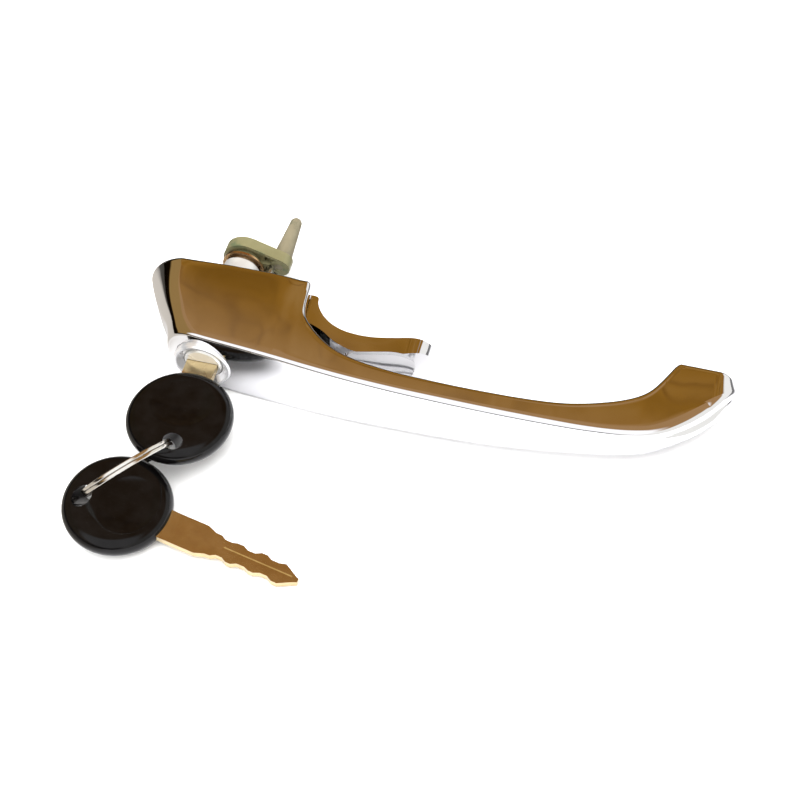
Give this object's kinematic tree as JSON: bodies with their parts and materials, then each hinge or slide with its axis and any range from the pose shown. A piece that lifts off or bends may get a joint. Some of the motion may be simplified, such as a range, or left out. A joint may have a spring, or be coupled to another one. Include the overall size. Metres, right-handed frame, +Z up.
{
  "type": "car door handle",
  "caption": "Chrome outside door pull handle with squeeze trigger, key lock, release arm with tapered pin, inserted key, spare key and split ring.",
  "frame": {"origin": "lock axis where it crosses the plane of the door skin", "axes": "+X along the grip from the lock head to the tip, +Y into the door along the lock axis, +Z up"},
  "size_m": [0.1857, 0.1314, 0.0268],
  "materials": {
    "chrome": "mirror polished plating",
    "chrome_trim": "mirror polished plating",
    "zinc": "as cast",
    "steel_dark": "oiled spring steel",
    "steel_bright": "bright zinc plated",
    "plug_nickel": "turned and nickel plated",
    "brass": "stamped",
    "copper": "copper coloured",
    "passivated": "yellow passivated zinc casting",
    "pin_zinc": "dull yellow passivated",
    "spring_steel": "drawn wire",
    "key_nickel": "nickel plated brass",
    "black_plastic": "moulded gloss",
    "ring_steel": "rolled flat wire"
  },
  "bodies": {
    "handle": {"handle_body": "chrome", "lock_collar": "chrome_trim", "lock_housing": "zinc", "housing_pin": "steel_dark", "back_plate": "zinc", "neck_nut": "steel_bright", "trigger_pin": "steel_dark", "trigger_spring": "spring_steel"},
    "plug": {"lock_plug": "plug_nickel", "wafer_1": "brass", "wafer_2": "brass", "wafer_3": "brass", "wafer_4": "brass", "plug_clip": "steel_dark", "thrust_washer": "copper", "arm_clip": "steel_dark"},
    "arm": {"release_arm": "passivated", "release_pin": "pin_zinc", "arm_spring": "spring_steel"},
    "trigger_lever": {"trigger": "chrome"},
    "rod": {"push_rod": "steel_bright", "rod_clip": "steel_dark", "rod_spring": "spring_steel"},
    "key": {"key_blade": "key_nickel", "key_bow": "black_plastic"},
    "ring": {"split_ring": "ring_steel"},
    "spare_key": {"spare_blade": "key_nickel", "spare_bow": "black_plastic"}
  },
  "joints": [
    {"name": "trigger_squeeze", "type": "hinge", "parent": "handle", "child": "trigger_lever", "pos_m": [0.0224, -0.008, 0], "axis": [0, 0, -1], "range_deg": [0, 13], "stiffness_Nm_per_rad": 0.8, "springref_deg": -8.59},
    {"name": "rod_push", "type": "slide", "parent": "handle", "child": "rod", "axis": [0, 1, 0], "range_m": [0, 0.0033], "deforming": ["rod_spring"]},
    {"name": "lock_turn", "type": "hinge", "parent": "handle", "child": "plug", "pos_m": [0, 0, 0], "axis": [0, -1, 0], "range_deg": [-80, 80]},
    {"name": "arm_push", "type": "slide", "parent": "plug", "child": "arm", "axis": [0, 1, 0], "range_m": [0, 0.0033], "deforming": ["arm_spring"]},
    {"name": "key_pull", "type": "slide", "parent": "plug", "child": "key", "axis": [0, -1, 0], "range_m": [0, 0.045]},
    {"name": "ring_swing", "type": "hinge", "parent": "key", "child": "ring", "pos_m": [0, -0.0614, 0], "axis": [0.4663, -0.2104, 0.8593], "range_deg": [-8, 35]},
    {"name": "spare_swing", "type": "hinge", "parent": "ring", "child": "spare_key", "pos_m": [-0.01874, -0.07984, -0.00525], "axis": [0.0224, 0.6911, -0.7225], "range_deg": [-4, 40]}
  ],
  "couplings": [
    {"joint": "rod_push", "follows": "trigger_squeeze", "m_per_rad": 0.0137},
    {"joint": "arm_push", "follows": "trigger_squeeze", "m_per_rad": 0.0137}
  ]
}
